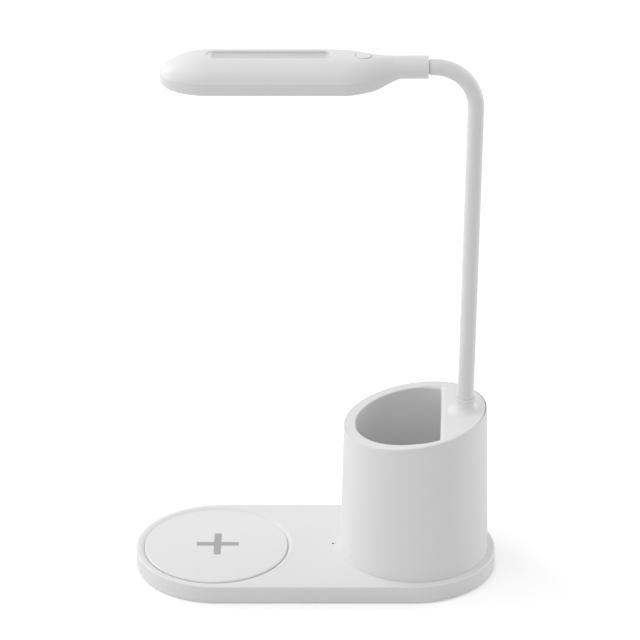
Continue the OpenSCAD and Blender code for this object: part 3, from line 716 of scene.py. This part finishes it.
def headSection(s, inset=0.0):
    at = headMeasures(s, inset)
    power = 2 / (2 + head["bandSquare"] * at["deep"])
    points = []
    for turn in around(head["turns"]):
        across, up = math.cos(turn), math.sin(turn)
        if up < -1e-9:
            up = -abs(up) ** power
            lean = head["draft"] * at["wide"] * up * at["nose"]
            y = -(at["half"] + lean) * math.copysign(abs(across) ** power, across)
            points.append((-s, y, at["middle"] + up * at["drop"]))
        else:
            z = at["middle"] + at["rise"] * crownShare(across, at["wide"])
            points.append((-s, -at["half"] * across, z))
    return points


def crownAt(s, y):
    at = headMeasures(s)
    return at["middle"] + at["rise"] * crownShare(y / at["half"], at["wide"])


# The crown's height less sink, as a function of s and y
def crownLess(sink):
    return lambda s, y: crownAt(s, y) - sink


def stations(first, inset=0.0):
    taperEnd = head["socketLength"] + head["taper"] * sum(head["crownCurve"])
    steps = head["taperSteps"]
    rows = [first + (taperEnd - first) * i / steps for i in range(steps + 1)]
    return rows + [noseStart + (head["nose"] - inset) * math.sin(math.radians(a)) for a in head["noseTurns"]]


def headSolid(form, loops):
    form.solid(loops, upright=True)
    return form.mesh("headSolid", headOrigin)


# The head's outside, with a slightly dished mouth
def headOutside():
    form = Form()
    backs = [head["mouthDish"] * (1 - math.sin(a)) for a in quarter(head["dishSteps"])[:-1]]
    loops = [form.loop(headSection(back, back)) for back in backs]
    loops += [form.loop(headSection(s)) for s in stations(head["mouthDish"])]
    return headSolid(form, loops)


def headInside():
    form = Form()
    inset = head["wall"]
    return headSolid(form, [form.loop(headSection(s, inset)) for s in stations(head["hollowFrom"], inset)])


# Closed prism from stadium outlines: half, radius, middle and z, or a function of s and y in place of z
def headBlock(rows, steps=48):
    form = Form()
    loops = []
    for half, radius, middle, z in rows:
        outline = stadium(half, radius, 0, steps, -middle)
        loops.append(form.loop([(p.x, p.y, z(-p.x, p.y) if callable(z) else z) for p in outline]))
    form.strip(loops)
    closeFirst = form.fill if callable(rows[0][3]) else form.cap
    closeFirst(loops[0])
    form.fill(loops[-1])
    return form.mesh("headBlock", headOrigin)


def frameBlock():
    start = head["socketLength"] + head["taper"] - parting["slant"]
    far = -head["length"] - parting["past"]
    under = headBottom - parting["past"]
    slope = (under + head["seam"]) / (headBottom - parting["under"] + head["seam"])
    form = Form()
    corners = [(far, -head["seam"]), (-start, -head["seam"]), (parting["slant"] * slope - start, under),
               (far, under)]
    wide = parting["halfWidth"]
    return headSolid(form, [form.loop([(x, y, z) for x, z in corners]) for y in (-wide, wide)])


recess = {"near": 60.1, "length": 78.1, "width": 12.8, "depth": 2.1, "shallow": 0.5, "nearRamp": 4.5,
          "farRamp": 9.0, "floorRings": (0.03, 0.2, 0.4, 0.6, 0.76), "floorRound": 0.8, "floorSteps": 5,
          "rim": 0.7, "rimTurn": 74, "rimSteps": 6, "rimPast": 0.2, "skin": 0.02, "over": 0.672,
          "paintInset": 1, "paintAbove": 1.1, "paintBelow": 0.2, "keepTop": 5}
recessRadius = recess["width"] / 2
recessHalf = recess["length"] / 2 - recessRadius
recessMiddle = recess["near"] + recess["length"] / 2


# Height of the recess's floor, which rises towards both ends
def recessFloor(s):
    share = blendIn(min((s - recess["near"]) / recess["nearRamp"],
                        (recess["near"] + recess["length"] - s) / recess["farRamp"]))
    return crownAt(s, 0) - recess["shallow"] - (recess["depth"] - recess["shallow"]) * share


# Height of the rounded foot of the recess's wall, which stays below the rim
def recessFoot(a):
    def height(s, y):
        if a == 0:
            return recessFloor(s)
        return min(recessFloor(s) + recess["floorRound"] * (1 - math.cos(a)),
                   crownAt(s, y) - recess["rim"] - recess["skin"])

    return height


def recessCutter():
    rows = [(recessRadius * share, recessFoot(0)) for share in recess["floorRings"]]
    for a in quarter(recess["floorSteps"]):
        rows.append((recessRadius - recess["floorRound"] * (1 - math.sin(a)), recessFoot(a)))
    for k in range(1, recess["rimSteps"] + 1):
        a = math.radians(recess["rimTurn"]) * k / recess["rimSteps"]
        rows.append((recessRadius + recess["rim"] * (1 - math.cos(a)),
                     crownLess(recess["rim"] * (1 - math.sin(a)))))
    wide = rows[-1][0] + recess["rimPast"]
    rows.append((wide, crownLess(-recess["over"])))
    rows.append((wide, head["crown"] + head["cutterTop"]))
    return headBlock([(recessHalf, radius, recessMiddle, z) for radius, z in rows])


button = {"s": 40.5, "radius": 4.8, "gap": 0.3, "top": 7.82, "round": 0.3, "topFlat": 1, "bottom": 4.1,
          "flange": 1.2, "flangeHeight": 0.7, "sides": 64, "holeEdge": 0.2, "holeTurn": 70, "holeSteps": 3,
          "holePast": 0.4, "holeBelow": 2, "holeSides": 32}


def buttonCutter():
    wide = button["radius"] + button["gap"]
    edge = button["holeEdge"]
    past = button["holePast"]
    rows = [(wide, button["bottom"] - button["holeBelow"])]
    for k in range(button["holeSteps"] + 1):
        a = math.radians(button["holeTurn"]) * k / button["holeSteps"]
        rows.append((wide + edge * (1 - math.cos(a)), crownLess(edge * (1 - math.sin(a)))))
    rows.append((wide + past, crownLess(-past)))
    rows.append((wide + past, head["crown"] + head["cutterTop"]))
    return headBlock([(0.0, radius, button["s"], z) for radius, z in rows], button["holeSides"])


def makeButton():
    radius = button["radius"]
    wide = radius + button["flange"]
    ledge = button["bottom"] + button["flangeHeight"]
    profile = roundedPath([(wide, button["bottom"]), (wide, ledge), (radius, ledge),
                           (radius, button["top"], button["round"]),
                           (radius - button["topFlat"], button["top"])])
    data = lathe(profile, button["sides"], headOrigin, -button["s"])
    piece("powerButton", data, "button", "button_white", "power_button")


# How much wider than the neck's clearance the socket's bore is, at each s
boreEdge = ((-3, 0.5), (-0.001, 0.5), (0.1, 0.2), (0.3, 0.05), (0.6, 0), (31, 0))


def socketBore():
    form = Form()
    radius = neck["radius"] + neck["play"]
    return headSolid(form, [form.loop(crossRing(s, radius + wider, neck["sides"])) for s, wider in boreEdge])


# The edges are steps inwards, with heights above the head's bottom and above the diffuser's
window = {"near": 61.9, "far": 132.5, "border": 4.5, "cavity": 2.5, "cavityTop": 1.0, "step": 1.1, "past": 1,
          "sink": 0.4, "play": 0.15, "edge": ((-1.1, -1.05), (-0.35, -0.3), (-0.05, 0.12), (0, 0.4)),
          "diffuserEdge": ((0.5, 0), (0.15, 0.04), (0.04, 0.15), (0, 0.5)), "sides": 64}
windowHalf = (window["far"] - window["near"]) / 2
windowMiddle = (window["far"] + window["near"]) / 2
windowStep = headBottom + window["step"]


def windowRows(border, levels):
    return [(windowHalf, head["width"] / 2 - border - inset, windowMiddle, z) for inset, z in levels]


def makeHead():
    inside = newObject("inside", headInside())
    wall = head["wall"]
    keep = [(recessHalf, recessRadius + wall, recessMiddle, z)
            for z in (head["crown"] - recess["depth"] - wall, head["crown"] + recess["keepTop"])]
    hollow = carve(inside, "DIFFERENCE", headBlock(keep)).data
    shell = newObject("headTopShell", headOutside())
    carve(shell, "DIFFERENCE", frameBlock(), hollow.copy(), recessCutter(), buttonCutter(), socketBore())
    lower = newObject("headLowerFrame", headOutside())
    edge = [(inset, headBottom + z) for inset, z in window["edge"]]
    opening = headBlock(windowRows(window["border"], edge + [(0, windowStep + window["past"])]))
    cavity = headBlock(windowRows(window["cavity"], [(0, windowStep), (0, window["cavityTop"])]))
    carve(lower, "INTERSECT", frameBlock())
    carve(lower, "DIFFERENCE", hollow.copy(), opening, cavity)
    bpy.data.objects.remove(inside)
    piece("headTopShell", shell, "head", "white_shell", "head_top_shell")
    piece("headLowerFrame", lower, "head", "white_shell", "head_lower_frame")
    paintRecessShade(shell)


# Painted shade: gives the recess's floor and its foot a darker material, standing in for the shade that falls
# in the recess
def paintRecessShade(shell):
    shell.data.materials.append(materials["recess_floor"])
    floor = (headOrigin.z + head["crown"] - recess["depth"]) * mm
    near = recess["near"] + recess["paintInset"]
    far = recess["near"] + recess["length"] - recess["paintInset"]
    for face in shell.data.polygons:
        middle = face.center
        lengthwise = near < headOrigin.x - middle.x / mm < far
        across = abs(middle.y) < recessRadius * mm
        upwards = floor - recess["paintBelow"] * mm < middle.z < floor + recess["paintAbove"] * mm
        if lengthwise and across and upwards:
            face.material_index = 1


def makeDiffuser():
    top = headBottom + window["sink"]
    border = window["border"] + window["play"]
    flange = window["cavity"] + window["play"]
    levels = [(border + inset, top + z) for inset, z in window["diffuserEdge"]]
    levels += [(border, windowStep), (flange, windowStep), (flange, windowStep + window["step"])]
    form = Form()
    form.solid([form.loop(stadium(half, radius, z, window["sides"], -middle))
                for half, radius, middle, z in windowRows(0, levels)])
    piece("diffuser", form.mesh("diffuser", headOrigin), "head", "diffuser_opal", "diffuser")


makeHead()
makeDiffuser()
makeButton()
print("head made")


def newGroup(name, *sockets):
    group = bpy.data.node_groups.new(name, "GeometryNodeTree")
    group.interface.new_socket("Geometry", in_out="INPUT", socket_type="NodeSocketGeometry")
    for label, kind in sockets:
        group.interface.new_socket(label, in_out="INPUT", socket_type=kind)
    group.interface.new_socket("Geometry", in_out="OUTPUT", socket_type="NodeSocketGeometry")
    return group, group.nodes.new("NodeGroupInput"), group.nodes.new("NodeGroupOutput")


# Links the nodes' first outputs to their first inputs, in order
def chain(group, *nodes):
    for near, far in zip(nodes, nodes[1:]):
        group.links.new(near.outputs[0], far.inputs[0])


# The group's last nodes, which make its result real and give it its material
def realEnd(group, given):
    realize = group.nodes.new("GeometryNodeRealizeInstances")
    paint = group.nodes.new("GeometryNodeSetMaterial")
    group.links.new(given.outputs["Material"], paint.inputs["Material"])
    return realize, paint


def tubeGroup():
    group, given, result = newGroup("sleeveTube", ("Radius", "NodeSocketFloat"), ("Sides", "NodeSocketInt"),
                                    ("Material", "NodeSocketMaterial"))
    circle = group.nodes.new("GeometryNodeCurvePrimitiveCircle")
    toCurve = group.nodes.new("GeometryNodeMeshToCurve")
    toMesh = group.nodes.new("GeometryNodeCurveToMesh")
    toMesh.inputs["Fill Caps"].default_value = True
    group.links.new(given.outputs["Radius"], circle.inputs["Radius"])
    group.links.new(given.outputs["Sides"], circle.inputs["Resolution"])
    group.links.new(circle.outputs[0], toMesh.inputs["Profile Curve"])
    chain(group, given, toCurve, toMesh, *realEnd(group, given), result)
    return group


def scatterGroup():
    group, given, result = newGroup("scatter", ("Source", "NodeSocketObject"),
                                    ("Material", "NodeSocketMaterial"))
    source = group.nodes.new("GeometryNodeObjectInfo")
    toPoints = group.nodes.new("GeometryNodeMeshToPoints")
    place = group.nodes.new("GeometryNodeInstanceOnPoints")
    group.links.new(given.outputs["Source"], source.inputs["Object"])
    group.links.new(source.outputs["Geometry"], place.inputs["Instance"])
    chain(group, given, toPoints, place, *realEnd(group, given), result)
    return group


# A new object with the node group's result as its own mesh
def grow(name, data, group, **values):
    obj = newObject(name, data)
    step = obj.modifiers.new("grow", "NODES")
    step.node_group = group
    for socket in group.interface.items_tree:
        if socket.in_out == "INPUT" and socket.name in values:
            step[socket.identifier] = values[socket.name]
    return baked(obj)


# Place of the neck's middle line at a distance from the boss's lip
def neckPoint(distance):
    upright = aim(neck["lean"])
    if distance <= neck["rise"]:
        return neckRoot + upright * distance
    sweep = 90 + neck["lean"]
    turned = min(sweep, math.degrees((distance - neck["rise"]) / neck["bend"]))
    centre = neckRoot + upright * neck["rise"] + aim(neck["lean"] - 90) * neck["bend"]
    place = centre - aim(neck["lean"] - 90 - turned) * neck["bend"]
    rest = distance - neck["rise"] - math.radians(sweep) * neck["bend"]
    return place + aim(-90) * max(0.0, rest)


# Adds a mesh to an object's own
def joinMesh(obj, data):
    work = bmesh.new()
    work.from_mesh(obj.data)
    work.from_mesh(data)
    work.to_mesh(obj.data)
    work.free()


# The gaps lie on each side of a pivot. The plug is the last sleeve's end inside the head's socket
sleeve = {"linkGap": 0.85, "bendGap": 0.4, "footPlay": 0.1, "stretch": 4, "fewest": 6, "ballPlay": 0.01,
          "ballStep": 4, "sharp": 50}
plug = {"groove": 0.9, "grooveRadius": 4.4, "grooveEnd": 0.4, "slope": 0.2, "insert": 10.0}


def ballMesh(place):
    radius = neck["radius"] - sleeve["ballPlay"]
    turns = [math.radians(a) for a in range(-88, 89, sleeve["ballStep"])]
    return lathe([(radius * math.cos(a), radius * math.sin(a)) for a in turns], neck["sides"], place)


def plugMesh():
    form = Form()
    groove = plug["grooveRadius"]
    rows = [(-plug["groove"], groove - plug["slope"]), (-plug["groove"], groove), (plug["grooveEnd"], groove),
            (plug["grooveEnd"] + plug["slope"], neck["radius"]), (plug["insert"], neck["radius"])]
    return headSolid(form, [form.loop(crossRing(s, radius, neck["sides"])) for s, radius in rows])


# Distances of the sleeves' ends from the boss's lip, each with the gap on both sides of it
def sleeveCuts():
    arc = math.radians(bendStep) * neck["bend"]
    mouth = neck["rise"] + neck["bends"] * arc + neck["tail"] - bendChord / 2
    cuts = [(sleeve["footPlay"] - neck["seat"], 0)]
    cuts += [(neck["firstPivot"] + i * spacing, sleeve["linkGap"]) for i in range(neck["spans"] + 1)]
    cuts += [(neck["rise"] + arc * (k + 0.5), sleeve["bendGap"]) for k in range(neck["bends"])]
    return cuts + [(mouth - plug["groove"], 0)]


# Each link's sleeve ends in a ball at its pivot, which fills the outside of the bend when the next link turns
def makeNeck():
    tube = tubeGroup()
    cuts = sleeveCuts()
    bodies = ["base", *(f"link_{i}" for i in range(1, len(cuts) - 2)), "head"]
    for i, (body, (near, nearGap), (pivot, farGap)) in enumerate(zip(bodies, cuts, cuts[1:])):
        start = near + nearGap
        run = pivot - farGap - start
        count = max(sleeve["fewest"], round(run / sleeve["stretch"]))
        data = bpy.data.meshes.new("path")
        data.from_pydata([neckPoint(start + run * k / count) * mm for k in range(count + 1)],
                         [(k, k + 1) for k in range(count)], [])
        obj = grow(f"neckSleeve_{i}", data, tube, Radius=neck["radius"] * mm, Sides=neck["sides"],
                   Material=materials["neck_silicone"])
        joinMesh(obj, plugMesh() if body == "head" else ballMesh(neckPoint(pivot)))
        piece(f"neckSleeve_{i}", obj, body, "neck_silicone", f"neck_sleeve_{i}", sharp=sleeve["sharp"])


makeNeck()
print("neck made")


# The cross in a screw's head narrows from the first pair of scale and depth to the second
screw = {"head": 2.3, "headHeight": 1.2, "headEdge": 0.2, "headFoot": 0.1, "headFlat": 2.2, "shank": 1.2,
         "shankEnd": 5.6, "tip": 0.8, "length": 6, "sides": 40,
         "cross": ((0.35, 1.45), (1.45, 0.35)), "crossLevels": ((1.05, -1.4), (0.8, -0.5))}
foot = {"radius": 7, "height": 1.6, "edge": 0.35, "topEdge": 0.1, "flat": 6, "sides": 64}


def crossBar(wide, long):
    form = Form()
    form.solid([form.loop([(x * wide * scale, y * long * scale, z)
                           for x, y in ((-1, -1), (1, -1), (1, 1), (-1, 1))])
                for scale, z in screw["crossLevels"]], upright=True)
    return form.mesh("crossBar")


def screwForm():
    under = -screw["headHeight"]
    profile = [(screw["headFlat"], under), (screw["head"], under, screw["headEdge"]),
               (screw["head"], 0, screw["headFoot"]), (screw["shank"], 0),
               (screw["shank"], screw["shankEnd"]), (screw["tip"], screw["length"])]
    shape = newObject("screwForm", lathe(roundedPath(profile), screw["sides"]))
    return carve(shape, "DIFFERENCE", *(crossBar(*sides) for sides in screw["cross"]))


def footForm():
    profile = [(foot["flat"], 0), (foot["radius"], 0, foot["edge"]),
               (foot["radius"], foot["height"], foot["topEdge"]), (foot["flat"], foot["height"])]
    return newObject("footForm", lathe(roundedPath(profile), foot["sides"]))


# Puts the shape at the middle of each solid of the CAD node, at a height in metres
def scatterOver(name, node, body, slotName, shape, height):
    data = bpy.data.meshes.new(name)
    data.from_pydata([(p.x, p.y, height) for p in islandCentres(node)], [], [])
    obj = grow(name, data, scatter, Source=shape, Material=materials[slotName])
    piece(name, obj, body, slotName, node)


scatter = scatterGroup()
screwShape = screwForm()
footShape = footForm()
for name, node, body in (("baseScrews", "base_screws", "base"), ("headScrews", "head_screws", "head")):
    scatterOver(name, node, body, "screw_steel", screwShape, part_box(node)[0][2] + screw["headHeight"] * mm)
scatterOver("rubberFeet", "rubber_feet", "base", "foot_rubber", footShape, 0)
bpy.data.objects.remove(screwShape)
bpy.data.objects.remove(footShape)
print("fasteners made")


photoCamera = {"place": (0.003, -1.77292, 1.03862), "lookDown": 25.84, "lens": 171.44, "sensor": 36.0,
               "far": 50}


def makeCamera():
    data = bpy.data.cameras.new("photoCamera")
    data.lens = photoCamera["lens"]
    data.sensor_width = photoCamera["sensor"]
    data.clip_end = photoCamera["far"]
    camera = newObject("photoCamera", data)
    camera.location = photoCamera["place"]
    camera.rotation_euler = (math.radians(90 - photoCamera["lookDown"]), 0, 0)
    bpy.context.scene.camera = camera


lamps = {
    "key": {"place": (-1.6, 1.2, 1.3), "aim": (0, 0, 0.15), "size": 1.2, "power": 12.0},
    "left": {"place": (-2.0, 0.3, 0.35), "aim": (0, 0, 0.15), "size": 1.0, "power": 8.0},
    "right": {"place": (1.8, 0.9, 0.4), "aim": (0, 0, 0.1), "size": 0.9, "power": 11.0},
    "top": {"place": (-0.7, -0.4, 2.1), "aim": (0, 0, 0.1), "size": 1.2, "power": 10.5},
}


def makeLamp(name, spec):
    data = bpy.data.lights.new(name, "AREA")
    data.energy = spec["power"]
    data.size = spec["size"]
    lamp = newObject(name, data)
    lamp.location = spec["place"]
    lamp.rotation_euler = (Vector(spec["aim"]) - Vector(spec["place"])).to_track_quat("-Z", "Y").to_euler()


# The glow is added to the floor for the camera, and grows from a distance in metres on
studio = {"world": 0.55, "floor": 0.86, "floorRough": 0.9, "floorHalf": 6.0, "floorGlow": 0.32,
          "farGlow": 0.3, "glowFrom": 0.6}


# White for what the camera sees directly or mirrored, and dimmer as a light
def makeWorld():
    world = bpy.data.worlds.new("studio")
    bpy.context.scene.world = world
    world.use_nodes = True
    rays = shaderNode(world.node_tree, "ShaderNodeLightPath").outputs
    seen = Shade(rays["Is Camera Ray"]) + Shade(rays["Is Glossy Ray"]) + Shade(rays["Is Transmission Ray"])
    sky = world.node_tree.nodes["Background"].inputs
    feed(sky["Color"], (1, 1, 1, 1))
    feed(sky["Strength"], studio["world"] + seen.clamp() * (1.0 - studio["world"]))


def floorPaper():
    material = bpy.data.materials.new("floorPaper")
    material.use_nodes = True
    tree = material.node_tree
    skin = tree.nodes["Principled BSDF"]
    feed(skin.inputs["Base Color"], (*grey(studio["floor"]), 1))
    feed(skin.inputs["Roughness"], studio["floorRough"])
    feed(skin.inputs["Specular IOR Level"], 0.0)
    feed(skin.inputs["Emission Strength"], 1.0)
    # The lit floor reads white and keeps its shadow
    direct = Shade(shaderNode(tree, "ShaderNodeLightPath").outputs["Is Camera Ray"])
    where = Shade(shaderNode(tree, "ShaderNodeTexCoord").outputs["Object"])
    far = shaderNode(tree, "ShaderNodeVectorMath", {"operation": "LENGTH"}, {"Vector": where})
    spread = (Shade(far.outputs["Value"]) - studio["glowFrom"]).clamp()
    feed(skin.inputs["Emission Color"], direct * (studio["floorGlow"] + spread * studio["farGlow"]))
    # Seen from below, the floor is clear
    under = Shade(shaderNode(tree, "ShaderNodeNewGeometry").outputs["Backfacing"])
    clear = shaderNode(tree, "ShaderNodeBsdfTransparent")
    mixed = shaderNode(tree, "ShaderNodeMixShader", {},
                       {0: direct * under, 1: Shade(skin.outputs[0]), 2: Shade(clear.outputs[0])})
    feed(tree.nodes["Material Output"].inputs[0], Shade(mixed.outputs[0]))
    return material


def makeFloor():
    data = bpy.data.meshes.new("floor")
    edge = studio["floorHalf"]
    corners = [(-edge, -edge, 0), (edge, -edge, 0), (edge, edge, 0), (-edge, edge, 0)]
    data.from_pydata(corners, [], [(0, 1, 2, 3)])
    data.materials.append(floorPaper())
    newObject("floor", data)


makeCamera()
for lampName, lampSpec in lamps.items():
    makeLamp(lampName, lampSpec)
makeWorld()
makeFloor()
bpy.context.scene.view_settings.view_transform = "Standard"
print("camera and light made")
